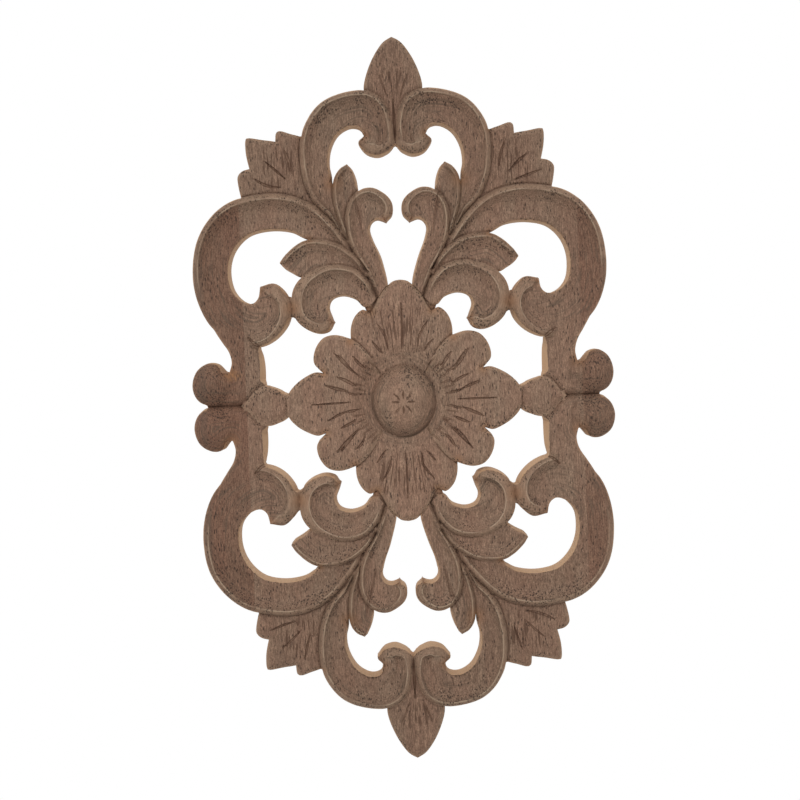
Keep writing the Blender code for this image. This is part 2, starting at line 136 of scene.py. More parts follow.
# Half-widths from a stroke's middle to its darkest lines
BANK = 0.85

# The sawn walls: their mean height, and how far they slope on edges that face the middle from the sides,
# more beside the side stems, and from above and below
RIM_HEIGHT = 6.5
SIDE_DRAFT = 0.45
STEM_DRAFT = 1.2
STEM_PLACE = 17.0
END_DRAFT = 0.35

# Where the saw scorched the wood, in the tight notches and on the thin necks: place and reach
NOTCHES = [(30.0, 26.6, 2.2), (48.3, 9.6, 1.8), (38.6, 32.8, 1.6), (18.4, 22.6, 1.4), (8.7, 73.6, 1.4),
           (3.6, 49.8, 1.2), (17.7, 60.6, 2.2), (14.3, 17.2, 1.3), (22.2, 8.4, 1.3), (8.4, 24.8, 1.3),
           (25.2, 45.4, 1.2), (9.6, 25.4, 1.5), (25.7, 74.3, 1.0)]

# The torn patch's middle, in metres
TORN_PLACE = (-0.0472, 0.0, 0.0086)

# What the wood's colour is drawn from: painted highlight on edges and the boss, distance from a crest and
# the strength of its painted highlight, the tool's path and its strength, painted shade in creases, distance
# from a stroke in half-widths and its strength
MARKS = ("pale", "crest", "ridge", "track", "turned", "dark", "stroke", "scored")

# The wood's colours, and the whites of the stage and the studio
RED_BROWN = (0.235, 0.138, 0.092, 1.0)
GREY_BROWN = (0.225, 0.148, 0.100, 1.0)
FIGURE = (0.180, 0.100, 0.066, 1.0)
# The next colour is painted shade that makes steep slopes a little darker
STEEP_SHADE = (0.150, 0.108, 0.070, 1.0)
LIGHT_STREAK = (0.330, 0.212, 0.140, 1.0)
DARK_STREAK = (0.095, 0.053, 0.034, 1.0)
BOARD_SHADE = (0.80, 0.70, 0.67, 1.0)
STREAK = (0.090, 0.062, 0.045, 1.0)
TOOL_MARK = (0.090, 0.062, 0.042, 1.0)
# The next three are painted light: a highlight on rounded edges, shoulders and the boss's top, a highlight
# on crests, and painted shade in a thin line beside each crest
EDGE_HIGHLIGHT = (0.310, 0.208, 0.138, 1.0)
CREST_HIGHLIGHT = (0.345, 0.252, 0.175, 1.0)
CREST_SIDE_SHADE = (0.090, 0.058, 0.038, 1.0)
# The sawn colour, and the steep walls' colour: fresh sawn wood made paler with painted light thrown back
# from the white behind
SAWN_EDGE = (0.350, 0.205, 0.118, 1.0)
SAWN_WALL_AND_BOUNCE_LIGHT = (0.540, 0.345, 0.200, 1.0)
SCORCHED = (0.230, 0.110, 0.052, 1.0)
TORN = (0.300, 0.150, 0.070, 1.0)
PORE = (0.040, 0.024, 0.017, 1.0)
# The next three are painted shade: in creases, in the hand-cut strokes and in the finest strokes
CREASE_SHADE = (0.075, 0.036, 0.022, 1.0)
STROKE_SHADE = (0.068, 0.029, 0.015, 1.0)
FINE_STROKE_SHADE = (0.075, 0.037, 0.021, 1.0)
STAGE_WHITE = (0.8, 0.8, 0.79, 1.0)
STUDIO_WHITE = (1.0, 1.0, 1.0, 1.0)

# Where the boards' seams fade, and the dark streak in the left board, in metres
LEFT_SEAM = (-0.0436, -0.0440)
RIGHT_SEAM = (0.0492, 0.0498)
STREAK_PLACE = -0.0558

# Spacing of the fans' lines at mid-length
FAN_PITCH = 0.58

# The floor, in metres
FLOOR_RADIUS = 1.4
FLOOR_LEVEL = -0.62

# The photograph's view: distance, tilt from above, lean to the left, and what the picture's middle looks at
VIEW_DISTANCE = 0.500
VIEW_TILT = np.radians(2.72)
VIEW_LEAN = np.radians(2.14)
VIEW_WIDTH = 0.2217
VIEW_AIM = (-0.00127, -0.0065, 0.0003)

# How far the panel's middle bows to the left, and how much wider than drawn it is cut
HALF_LENGTH = 100.0
BOW = 0.12
MARGIN = 0.1

# Unevenness of the front, as the length and the height of its bumps, and of the outline, with its reach
RIPPLES = ((5.0, 0.05), (1.8, 0.025))
LOWEST_FRONT = 0.5
WANDER_LENGTH = 26.0
WANDER_REACH = 0.1

# Places where the hand-cut outline strays from the even design, how far it does, right and up, and the reach
HAND_REACH = 6.0
HAND_SHIFTS = [(-5, 42, 0.7, 0), (-5.5, -45, 0.4, 0), (6.5, -47, -0.3, 0), (-5, 73, 0.4, -0.2),
               (-18, 66, 0.4, 0), (18, 66, -0.3, 0), (-35, 32, 0, 0.5), (-46, 30, 0.4, 0), (-39, 10, 0.4, 0),
               (-39, -10, 0.4, 0), (-53, 8, 0, 0.5), (50, 14, 0.5, 0), (26, 20, 0, -0.3), (-35, -20, 0, 0.5)]


def curve(*points):
    """A smooth line through a few points, as closely spaced samples."""
    knots = np.array(points, float)
    knots = np.vstack([2 * knots[0] - knots[1], knots, 2 * knots[-1] - knots[-2]])
    pieces = []
    for a, b, c, d in zip(knots, knots[1:], knots[2:], knots[3:]):
        count = max(2, int(np.linalg.norm(c - b) / FINE))
        t = np.linspace(0, 1, count, endpoint=False)[:, None]
        ends = 2 * b + (c - a) * t
        bend = (2 * a - 5 * b + 4 * c - d) * t ** 2 + (3 * b - a - 3 * c + d) * t ** 3
        pieces.append((ends + bend) / 2)
    return np.vstack(pieces + [knots[-2:-1]])


def chain(*lines):
    """Several lines in a row, meeting in corners."""
    return np.vstack(lines)


def dense(line, spacing=LINE_SPACING):
    """The same line, with its long stretches divided finely."""
    pieces = []
    for start, end in zip(line, line[1:]):
        count = max(1, round(np.linalg.norm(end - start) / spacing))
        pieces.append(start + (end - start) * np.linspace(0, 1, count, endpoint=False)[:, None])
    return np.vstack(pieces + [line[-1:]])


def smooth(t):
    """An S-shaped step from 0 to 1."""
    t = np.clip(t, 0, 1)
    return t * t * (3 - 2 * t)


def bell(distance, reach):
    """One at no distance, falling softly to nothing past the reach."""
    return np.exp(-(distance / reach) ** 2)


def nearest(points, line):
    """Distance from each point to a line, and how far along the line, from 0 to 1."""
    start, span = line[:-1], np.diff(line, axis=0)
    length = np.linalg.norm(span, axis=1)
    start, span, length = start[length > 0], span[length > 0], length[length > 0]
    before = np.concatenate([[0], np.cumsum(length)[:-1]])
    offset = points[:, None] - start
    share = np.clip((offset * span).sum(-1) / length ** 2, 0, 1)
    away = np.linalg.norm(offset - share[..., None] * span, axis=-1)
    best = away.argmin(1)
    rows = np.arange(len(points))
    along = (before[best] + share[rows, best] * length[best]) / length.sum()
    return away[rows, best], along


def inside(points, outline):
    """Which points lie within a closed outline."""
    x, y = points[:, :1], points[:, 1:]
    x0, y0 = outline[:, 0], outline[:, 1]
    x1, y1 = np.roll(x0, -1), np.roll(y0, -1)
    spans = (y0 > y) != (y1 > y)
    rise = np.where(y1 == y0, 1, y1 - y0)
    crossing = x0 + (y - y0) * (x1 - x0) / rise
    return (spans & (x < crossing)).sum(1) % 2 == 1


class Motif:
    """One drawn shape between two edges that run from its root to its tip."""

    def __init__(self, outer, inner, profile, joined=False, **shape):
        self.joined = joined
        self.outer = outer
        self.inner = inner
        self.outline = chain(outer, inner[::-1])
        self.edges = [outer, inner] if profile is band else [outer]
        self.profile = profile
        self.shape = shape

    def close_to(self, points, reach):
        """Numbers of the points in the box around the shape."""
        low, high = self.outline.min(0) - reach, self.outline.max(0) + reach
        return np.flatnonzero(((points > low) & (points < high)).all(1))

    def depth_inside(self, points):
        """Signed distance to the outline, positive within it."""
        away, _ = nearest(points, chain(self.outline, self.outline[:1]))
        return np.where(inside(points, self.outline), away, -away)

    def relief(self, points):
        """Height, painted highlight, distance from the crest and its strength, tool's path and its strength.
        """
        return self.profile(points, self, **self.shape)


def rim_width(along, room, rim, swell):
    """Width of a band's shoulder, which changes between two places along the band."""
    change = smooth((along - swell[0]) / (swell[1] - swell[0]))
    return np.minimum(rim[0] + (rim[1] - rim[0]) * change, RIM_SHARE * room)


def crest_height(along, crest, cove, worn, gap):
    """Height of a band's crest along it, and how far its shoulder drops to the outer edge."""
    top = ROOT + (crest - ROOT) * smooth(along / ROOT_SHARE)
    top = top - TIP_DROP * (crest - cove) * smooth((along - 1 + worn) / worn)
    if not gap:
        return top, SHOULDER
    lowered = smooth((along - gap[0]) / (gap[1] - gap[0])) * smooth((gap[2] - along) / 0.01)
    return top - (crest - cove) * lowered, SHOULDER * (1 - lowered ** 4)


def with_ball(points, height, ridge, ball):
    """The band's height and crest, with a ball that swells from its end."""
    u, v, radius = ball
    away = np.hypot(points[:, 0] - u, points[:, 1] - v) / radius
    share = smooth((1.4 - away) / 0.5)
    return height + (BALL - BALL_DROP * away ** 2 - height) * share, ridge * (1 - share)


def band(points, motif, rim, swell=(0, 1), crest=CREST, cove=COVE, lip=LIP, worn=0.06, gap=None, flutes=0,
         ball=None):
    """A scroll or leaf: rounded shoulder, thin crest, hollow bed and a soft inner lip."""
    to_outer, along = nearest(points, motif.outer)
    to_inner, _ = nearest(points, motif.inner)
    width = np.maximum(to_outer + to_inner, 0.01)
    edge = rim_width(along, width, rim, swell)
    top, drop = crest_height(along, crest, cove, worn, gap)
    bed = np.minimum(cove, top)
    across = np.clip((to_outer - edge) / np.maximum(width - edge, 0.01), 0, 1)
    fall = np.sin(np.pi / 2 * np.clip(across / BED_SHARE, 0, 1))
    rise = smooth((across - BED_SHARE) / (1 - BED_SHARE))
    hollow = top - (top - bed) * fall + (np.minimum(lip, top) - bed) * rise
    if not motif.joined:
        hollow = hollow - ARRIS_DROP * (1 - np.clip(to_inner / ARRIS, 0, 1)) ** 2
    if flutes:
        fade = smooth((along - 0.1) / 0.2) * smooth((0.62 - along) / 0.15) * smooth(across / 0.2)
        hollow = hollow - FLUTE_DEPTH * fade * (1 - np.abs(np.sin(np.pi * flutes * across)))
    shoulder = top - drop * (1 - np.clip(to_outer / np.maximum(edge, 0.01), 0, 1)) ** 2
    standing = smooth((top - bed) / 1.5)
    from_crest = to_outer - edge
    # The shoulder outside the crest and the strip along the inner edge get a painted highlight
    pale = np.maximum(0.55 * (from_crest < 0) * standing, 0.6 * bell(to_inner, 0.45))
    height = np.where(from_crest < 0, shoulder, hollow)
    ridge = bell(from_crest, RIDGE_REACH) * standing
    if ball:
        height, ridge = with_ball(points, height, ridge, ball)
    turned = 0.35 + 0.65 * smooth((along - 0.3) / 0.4)
    return height, pale, from_crest, ridge, to_outer, turned


def pillow(points, motif, top=LEAF, round_off=0.9, reach=1.6):
    """A nearly flat leaf with softly rounded edges."""
    to_edge, _ = nearest(points, motif.outer)
    height = top - round_off * (1 - np.clip(to_edge / reach, 0, 1)) ** 2
    none = np.zeros(len(points))
    # The paleness along the rounded edge is a painted highlight
    return height, 0.8 * bell(to_edge, 0.7) * (round_off > 0.5), none + FAR, none, to_edge, none


def petal(points, motif, top=PETAL):
    """A petal: it rises from the dish around the boss and rounds off at its edge."""
    ring = np.linalg.norm(points / (1.0, DISH_STRETCH), axis=1)
    rise = DISH + (top - DISH) * smooth((ring - DISH_RADIUS) / DISH_SLOPE)
    to_edge, _ = nearest(points, motif.outer)
    height = rise - PETAL_DROP * (1 - np.clip(to_edge / PETAL_EDGE, 0, 1)) ** 2
    none = np.zeros(len(points))
    # The paleness along the petal's edge is a painted highlight
    return height, 0.9 * bell(to_edge, 0.7), none + FAR, none, ring, 0.8 * smooth((14 - ring) / 3)


def dome(points, motif):
    """The boss in the flower's middle: a dome that is flatter on top and steep at its foot."""
    ring = np.linalg.norm(points / BOSS_RADII, axis=1)
    height = BOSS_FOOT + (BOSS - BOSS_FOOT) * np.clip(1 - ring ** BOSS_FLATNESS, 0, 1) ** BOSS_STEEPNESS
    none = np.zeros(len(points))
    # The paleness on the boss's top is a painted highlight
    return height, 0.3 * bell(ring, 0.5), none + FAR, none, BOSS_TRACK * ring, smooth((ring - 0.4) / 0.4)


def corner_leaf():
    first = curve((25.2, 73.9), (28.5, 74.8), (31.4, 75.7), (32.7, 75.3), (33.1, 72.9))
    second = curve((33.1, 72.9), (36.5, 73.3), (40.4, 73.9), (41.2, 73.2), (41.1, 69.5), (40.3, 65.5))
    third = curve((40.3, 65.5), (42.2, 64.9), (43.5, 63.6), (43.5, 61.5), (42.7, 57.5))
    hidden = np.array([(22.0, 70.0), (20.0, 53.0), (40.0, 54.5)])
    return Motif(chain(first, second, third), hidden, pillow, top=LEAF)


def finial():
    edge = curve((0, 100.0), (2.6, 98.3), (5.2, 94.6), (7.0, 90.6), (7.9, 87.2), (8.0, 84.5))
    stem = curve((4.0, 80.5), (1.9, 77.0), (1.5, 73.0), (1.0, 70.7), (0, 70.6))
    return Motif(edge, stem[::-1], pillow, top=FINIAL)


def web():
    """The low ground that joins the roots of the shoots and leaves."""
    below = np.array([(5.0, 22.0), (9.4, 25.0), (10.2, 27.4), (14.0, 34.0), (24.0, 40.0), (24.4, 44.9)])
    above = np.array([(4.2, 30.0), (5.4, 34.5), (9.0, 42.0), (13.0, 50.0), (17.2, 57.0), (23.0, 57.0),
                      (24.4, 50.0)])
    return Motif(below, above, pillow, top=WEB, round_off=0.0)


def neck():
    top = np.array([(28.0, 30.6), (30.0, 29.4), (32.0, 30.4)])
    low = np.array([(28.0, 22.8), (30.0, 24.2), (32.0, 22.8)])
    return Motif(top, low, pillow, top=NECK, round_off=0.3)


def top_scroll():
    outer = curve((10.6, 39.0), (17.5, 49.5), (22.4, 54.8), (25.2, 60.5), (26.3, 67.0), (25.9, 73.5),
                  (23.6, 78.9), (19.8, 83.0), (14.5, 85.2), (8.5, 85.8), (4.2, 84.2), (1.7, 81.0),
                  (0.6, 76.6), (0.3, 72.8), (0.4, 70.7), (1.9, 68.6), (5.0, 67.3), (8.2, 68.4), (10.1, 71.6),
                  (8.8, 73.5))
    inner = curve((10.4, 40.0), (16.2, 48.5), (17.6, 55.0), (17.8, 61.3), (18.5, 65.5), (17.8, 69.6),
                  (15.6, 73.4), (12.4, 75.4), (9.8, 75.2), (8.4, 73.7))
    return Motif(outer, inner, band, rim=(1.2, 3.6), swell=(0.77, 0.93), worn=0.1)


def side_stem():
    outer = chain(curve((43.2, 20.0), (41.2, 18.4), (39.6, 16.5), (38.8, 14.4), (38.5, 12.0), (38.4, 8.5),
                        (38.4, 5.2)),
                  curve((38.4, 5.2), (40.9, 4.0), (42.8, 1.8), (45.0, 0.4), (47.5, 0.3), (51.0, 0.25),
                        (55.2, 0.5), (57.5, 2.6), (58.3, 6.2), (57.1, 10.0), (54.2, 12.0), (51.0, 11.8),
                        (48.5, 9.4)))
    inner = curve((53.0, 23.4), (51.5, 20.5), (49.8, 17.8), (48.0, 14.9), (47.4, 12.0), (48.2, 9.4))
    return Motif(outer, inner, band, joined=True, rim=(1.1, 2.2), swell=(0.24, 0.32), crest=ROOT, cove=ROOT,
                 lip=ROOT, ball=(53.2, 6.3, 5.4))


def side_web():
    """The low strip between the upper and the lower side curls."""
    edge = np.array([(40.5, 1.2), (44.0, 1.2), (54.0, 1.0), (54.6, 0.4), (54.5, 0.0)])
    return Motif(edge, np.array([(40.5, 0.0), (54.0, 0.0)]), pillow, top=SIDE_WEB, round_off=0.0)


def c_scroll():
    outer = curve((10.4, 38.4), (13.9, 44.4), (17.6, 49.4), (22.2, 54.2), (27.5, 57.2), (33.5, 58.5),
                  (40.0, 58.1), (46.5, 56.3), (51.7, 52.4), (55.3, 46.8), (56.9, 40.5), (57.0, 33.5),
                  (55.4, 27.0), (52.4, 21.8), (47.5, 18.0), (42.5, 16.4), (38.0, 16.6), (33.8, 18.8),
                  (30.8, 22.4), (30.0, 26.5), (31.2, 30.4), (34.4, 33.2), (38.4, 32.9))
    inner = curve((11.2, 37.6), (19.0, 43.6), (25.4, 45.6), (29.5, 47.6), (35.0, 48.2), (40.5, 47.0),
                  (44.4, 43.4), (46.3, 38.6), (46.2, 33.2), (44.3, 29.9), (41.3, 28.4), (39.2, 29.8),
                  (38.6, 32.7))
    return Motif(outer, inner, band, rim=(1.4, 3.1), swell=(0.76, 0.9), gap=(0.42, 0.66, 0.768))


def leaf_b():
    outer = curve((9.4, 37.0), (13.4, 43.4), (15.8, 48.2), (17.3, 53.2), (17.8, 58.0), (17.4, 61.6),
                  (15.9, 64.1), (13.8, 65.6))
    inner = curve((7.6, 38.0), (10.0, 48.0), (10.6, 56.0), (11.0, 60.6), (12.2, 64.2), (13.6, 65.6))
    return Motif(outer, inner, band, rim=(0.9, 0.9), crest=7.3, cove=5.8, lip=6.0, flutes=2)


def shoot_a():
    outer = curve((6.4, 29.0), (8.9, 35.5), (11.9, 40.6), (13.8, 45.2), (14.4, 50.0), (13.8, 54.0),
                  (12.0, 57.0), (9.4, 58.6), (6.4, 58.8), (3.4, 57.3), (1.5, 54.8), (1.5, 51.6), (3.2, 49.5))
    inner = curve((3.0, 29.5), (3.7, 34.4), (5.4, 40.0), (7.2, 44.4), (7.9, 47.6), (7.1, 49.5),
                  (5.6, 50.2), (3.6, 49.5))
    return Motif(outer, inner, band, rim=(0.9, 1.8), swell=(0.6, 0.9), crest=7.6, flutes=3)


def leaf_e():
    outer = curve((9.0, 36.5), (11.0, 39.6), (14.0, 42.4), (17.6, 44.5), (21.5, 45.4), (25.4, 45.4),
                  (28.6, 43.8), (31.2, 41.5), (32.9, 39.4))
    inner = curve((9.0, 34.5), (12.5, 36.5), (17.0, 37.0), (24.0, 35.6), (27.4, 35.1), (29.8, 36.3),
                  (31.8, 37.6), (32.9, 39.1))
    return Motif(outer, inner, band, rim=(1.0, 1.0), crest=7.7, cove=6.2, flutes=2)


def curl_f():
    outer = curve((6.4, 29.0), (8.2, 33.0), (11.2, 36.4), (14.5, 38.0), (18.5, 38.4), (22.5, 37.6),
                  (26.4, 35.7), (29.1, 32.5), (30.1, 28.5), (29.4, 24.2), (26.8, 20.9), (23.0, 19.2),
                  (19.8, 19.8), (18.2, 22.2))
    inner = curve((8.2, 26.6), (10.2, 26.4), (12.2, 28.5), (15.6, 29.5), (18.6, 28.6), (19.6, 26.2),
                  (18.6, 23.2))
    return Motif(outer, inner, band, rim=(1.2, 2.7), swell=(0.3, 0.6))


def bud():
    edge = curve((32.0, 3.2), (34.5, 4.7), (38.2, 5.5), (41.2, 4.2), (43.2, 1.8), (45.3, 0.0))
    axis = np.array([(32.0, 0.0), (45.0, 0.0)])
    return Motif(edge, axis, pillow, top=BUD, round_off=0.8, reach=3.0)


def top_petal():
    lobe = curve((0, 33.4), (1.9, 33.0), (3.7, 31.6), (5.6, 29.2), (7.1, 26.4), (8.4, 24.4))
    side = curve((8.4, 24.4), (10.4, 25.6), (12.6, 23.8), (13.8, 21.0), (14.2, 17.0))
    hidden = np.array([(0, 5.0), (6.0, 5.0)])
    return Motif(chain(lobe, side), hidden, petal, top=UNDER_PETAL)


def side_petals():
    upper = curve((6.4, 8.0), (9.2, 13.0), (12.2, 16.4), (14.8, 17.9), (18.5, 18.7), (21.8, 17.8),
                  (24.0, 14.8), (24.4, 11.2), (22.0, 8.3))
    lower = curve((22.0, 8.3), (24.6, 8.7), (28.6, 6.7), (31.2, 4.3), (32.3, 2.6))
    hidden = np.array([(5.0, 0.0), (32.3, 0.0)])
    return Motif(chain(upper, lower), hidden, petal, top=PETAL)


def boss():
    turn = np.linspace(np.pi / 2, 0, 32)
    rim = np.stack([BOSS_RADII[0] * np.cos(turn), BOSS_RADII[1] * np.sin(turn)], 1)
    return Motif(rim, np.array([(0.0, 0.0), (0.01, 0.0)]), dome)


def motifs():
    """The quarter's shapes, from the lowest layer to the one cut last, on top."""
    return [web(), side_web(), corner_leaf(), finial(), neck(), top_scroll(), c_scroll(), side_stem(),
            leaf_b(), shoot_a(), leaf_e(), curl_f(), bud(), top_petal(), side_petals(), boss()]


def hand_cuts():
    """The V-tool's strokes off the axes, each as its points, half-width and depth."""
    petal_strokes = [((16.0, 2.6), (18.8, 3.9), (21.6, 4.9)), ((13.4, 4.6), (15.8, 6.0), (18.0, 7.0)),
                     ((12.6, 7.6), (15.2, 9.9), (18.8, 13.7)), ((10.8, 9.6), (12.2, 11.4), (13.5, 13.2)),
                     ((13.9, 8.3), (15.8, 10.6), (17.6, 13.0)), ((13.0, 1.9), (14.6, 2.3), (16.2, 2.8))]
    under_strokes = [((5.7, 13.6), (7.0, 15.0), (8.4, 17.0)), ((4.0, 15.0), (4.7, 18.2), (6.9, 22.0))]
    leaf_strokes = [((28.6, 64.0), (29.4, 67.5), (30.8, 71.0)), ((31.1, 62.5), (33.8, 65.0), (36.7, 67.3)),
                    ((32.2, 60.1), (36.0, 61.2), (39.8, 62.8))]
    finial_stroke = ((1.8, 83.8), (2.9, 86.8), (4.2, 90.0))
    star_ray = ((0.9, 0.9), (1.6, 1.7), (2.3, 2.5))
    pad_stroke = ((39.3, 16.4), (40.6, 17.4), (42.3, 19.0))
    cuts = [(stroke, *PETAL_CUT) for stroke in petal_strokes]
    cuts += [(stroke, *UNDER_CUT) for stroke in under_strokes]
    cuts += [(stroke, *LEAF_CUT) for stroke in leaf_strokes]
    cuts += [(star_ray, *STAR_CUT), (pad_stroke, *PAD_CUT), (finial_stroke, *FINIAL_CUT)]
    for place in range(7):
        turn = np.radians(8 + 7 * place)
        start = (11.4 * np.cos(turn), 12.2 * np.sin(turn))
        end = (14.6 * np.cos(turn), 15.4 * np.sin(turn))
        cuts.append(((start, end), *DISH_CUT))
    for place in range(5):
        start = (9.6 + 0.4 * place, 46.0 + 1.6 * place)
        end = (start[0] + 1.4, start[1] + 7.5)
        cuts.append(((start, end), *SHOOT_CUT))
    return cuts


def axis_cuts():
    """Strokes that lie on the lines where the quarters meet."""
    strokes = [((0, 14.5), (0, 27.0)), ((15.0, 0), (25.6, 0)), ((1.0, 0), (3.0, 0)), ((0, 1.0), (0, 3.2))]
    valley = ((0, 72.0), (0, 83.0))
    return [(stroke, *AXIS_CUT) for stroke in strokes] + [(valley, *VALLEY_CUT)]


class Cut:
    """One stroke: deepest along its middle and running out at both ends."""

    def __init__(self, stroke, half_width, depth, axial):
        line = curve(*stroke) if len(stroke) > 2 else np.array(stroke, float)
        self.line = dense(line, STROKE_SPACING)
        self.half_width = half_width
        self.depth = depth
        self.axial = axial

    def banks(self):
        """Its middle line and the two lines where it meets the surface."""
        step = np.gradient(self.line, axis=0)
        side = np.stack([-step[:, 1], step[:, 0]], 1) / np.linalg.norm(step, axis=1)[:, None]
        spread = np.sin(np.pi * np.linspace(0, 1, len(self.line)))[:, None] ** 0.5 * self.half_width
        lines = [self.line, self.line + side * spread, self.line - side * spread]
        return [line for line in lines if line.min() > -TOLERANCE]


def all_cuts(random):
    """Every stroke of one quarter, with the small differences of work done by hand."""
    cuts = [Cut(*cut, True) for cut in axis_cuts()]
    for stroke, half_width, depth in hand_cuts():
        moved = np.array(stroke) + random.normal(0, STROKE_SHIFT, (1, 2))
        moved = moved + random.normal(0, STROKE_SHAKE, moved.shape)
        moved = np.maximum(moved, AXIS_ROOM)
        half_width, depth = np.array([half_width, depth]) * random.uniform(*STROKE_RANGE, 2)
        cuts.append(Cut([tuple(point) for point in moved], half_width, depth, False))
    return cuts


def surface(points, shapes, cuts):
    """Height of the carving at each point, followed by the marks in the order of MARKS."""
    layers = np.zeros((6, len(points)))
    dark = np.zeros(len(points))
    for motif in shapes:
        near = motif.close_to(points, NEARBY)
        depth = motif.depth_inside(points[near])
        own = np.array(motif.relief(points[near]))
        below = layers[:, near]
        step = own[0] - below[0]
        within = depth > -TOLERANCE
        # shade is painted shade at the foot of a shape that stands on a lower one; it also sinks a small
        # groove and takes back the painted highlight there
        shade = bell(np.minimum(depth + CREASE_INSET, 0), CREASE_REACH) * np.clip(step + 0.4, 0, 1)
        shade = np.where(within | (below[0] == 0) | motif.joined, 0, shade)
        skirt = own[0] + STEP_SLOPE * np.minimum(depth, 0)
        if motif.joined:
            own[:-1] = np.where(within & (step < 0), below[:-1], own[:-1])
        beside = below.copy()
        beside[0] = np.maximum(below[0], skirt) - CREASE_DEPTH * shade
        beside[1] *= 1 - shade
        layers[:, near] = np.where(within, own, beside)
        dark[near] = np.where(within, 0, np.maximum(dark[near], shade))
    height = layers[0]
    stroke = np.full(len(points), FAR)
    scored = np.zeros(len(points))
    for cut in cuts:
        away, along = nearest(points, cut.line)
        half = cut.half_width * np.sin(np.pi * np.clip(along, 0.02, 0.98)) ** 0.5
        strength = 1 if cut.axial else np.clip(points.min(1) / AXIS_FADE, 0, 1)
        height = height - strength * cut.depth * np.clip(1 - away / half, 0, 1)
        closer = away / half < stroke
        stroke = np.where(closer, away / half, stroke)
        scored = np.where(closer, strength * np.clip(cut.depth / FULL_DEPTH, 0.75, 1), scored)
    return height, *layers[1:], dark, stroke, scored


def owner(points, shapes):
    """Number of the uppermost shape at each point, or -1 outside them all."""
    top = np.full(len(points), -1)
    for number, motif in enumerate(shapes):
        near = motif.close_to(points, 0.1)
        top[near[motif.depth_inside(points[near]) > -TOLERANCE]] = number
    return top


def inward(motif, line, distance):
    """A line moved off a shape's edge, to the inside where the distance is positive."""
    step = np.gradient(line, axis=0)
    side = np.stack([step[:, 1], -step[:, 0]], 1) / np.linalg.norm(step, axis=1)[:, None]
    probe = motif.depth_inside(line + 0.05 * side)
    side = side * np.sign(np.median(probe))
    return line + side * np.reshape(distance, (-1, 1))


def crest_line(motif):
    """The sharp crest along a band."""
    to_inner, _ = nearest(motif.outer, motif.inner)
    along = np.linspace(0, 1, len(motif.outer))
    edge = rim_width(along, to_inner, motif.shape["rim"], motif.shape.get("swell", (0, 1)))
    return inward(motif, motif.outer, edge)


def rings():
    """Quarter rings over the boss."""
    turn = np.linspace(np.pi / 2, 0, 40)
    unit = np.stack([np.cos(turn), np.sin(turn)], 1)
    return [unit * BOSS_RADII * share for share in RING_SHARES]


def runs(line, keep):
    """The unbroken stretches of a line whose points are kept."""
    marks = np.flatnonzero(np.diff(np.concatenate([[0], keep, [0]]).astype(int)))
    return [line[start:end] for start, end in zip(marks[::2], marks[1::2])]


def clear_runs(line, keep, later):
    """The kept stretches of a line that stay clear of the edges of later shapes."""
    keep = keep & (line.min(1) > -1e-9)
    for motif in later:
        for edge in motif.edges:
            keep &= nearest(line, edge)[0] > CLEARANCE
    return [run for run in runs(line, keep) if len(run) > 2]


def outline_runs(number, shapes):
    """The stretches of a shape's outline that no later shape covers."""
    line = np.maximum(dense(chain(shapes[number].outline, shapes[number].outline[:1])), 0)
    bare = owner(line, shapes[number + 1:]) < 0
    if shapes[number].joined:
        bare &= owner(line, shapes[:number]) < 0
    spread = bare | np.roll(bare, 1) | np.roll(bare, -1)
    return [run for run in runs(line, spread) if len(run) > 1]


def relief_lines(shapes):
    """Every line that the front surface bends sharply along, apart from the outlines."""
    lines = []
    for number, motif in enumerate(shapes):
        if motif.profile is band:
            crest = dense(crest_line(motif))
            shows = abs(surface(crest, shapes, [])[0] - motif.relief(crest)[0]) < 0.05
            lines += clear_runs(crest, shows, shapes[number:])
        foot = dense(inward(motif, motif.outer, -FOOT))
        lower = owner(foot, shapes)
        lies_on_another = (lower >= 0) & (lower < number) & (not motif.joined)
        lines += clear_runs(foot, lies_on_another, shapes)
    axes = [dense(np.array([(0.0, 0.0), end])) for end in AXIS_ENDS]
    for line in rings() + axes:
        lines += clear_runs(line, owner(line, shapes) >= 0, [])
    return lines


def lattice(taken, shapes):
    """Points spread over the open areas, away from the points already used."""
    rows = np.arange(GRID_START, GRID_END[1], ROW_SPACING)
    grid = [(u, v) for row, v in enumerate(rows)
            for u in np.arange(GRID_START + SPACING / 2 * (row % 2), GRID_END[0], SPACING)]
    grid = np.array(grid)
    grid = grid[owner(grid, shapes) >= 0]
    tree = kdtree.KDTree(len(taken))
    for number, (u, v) in enumerate(taken):
        tree.insert((u, v, 0), number)
    tree.balance()
    clear = [tree.find((u, v, 0))[2] > GRID_CLEARANCE for u, v in grid]
    return grid[clear]


class PointPool:
    """Numbered points, where near neighbours share one number."""

    def __init__(self):
        self.points = []
        self.cells = {}

    def add(self, point):
        point = np.where(abs(point) < AXIS_SNAP, 0.0, point)
        column, row = (int(share) for share in point // MERGE)
        for a in (column - 1, column, column + 1):
            for b in (row - 1, row, row + 1):
                for number in self.cells.get((a, b), []):
                    if np.hypot(*(self.points[number] - point)) < MERGE:
                        return number
        self.points.append(point)
        self.cells.setdefault((column, row), []).append(len(self.points) - 1)
        return len(self.points) - 1


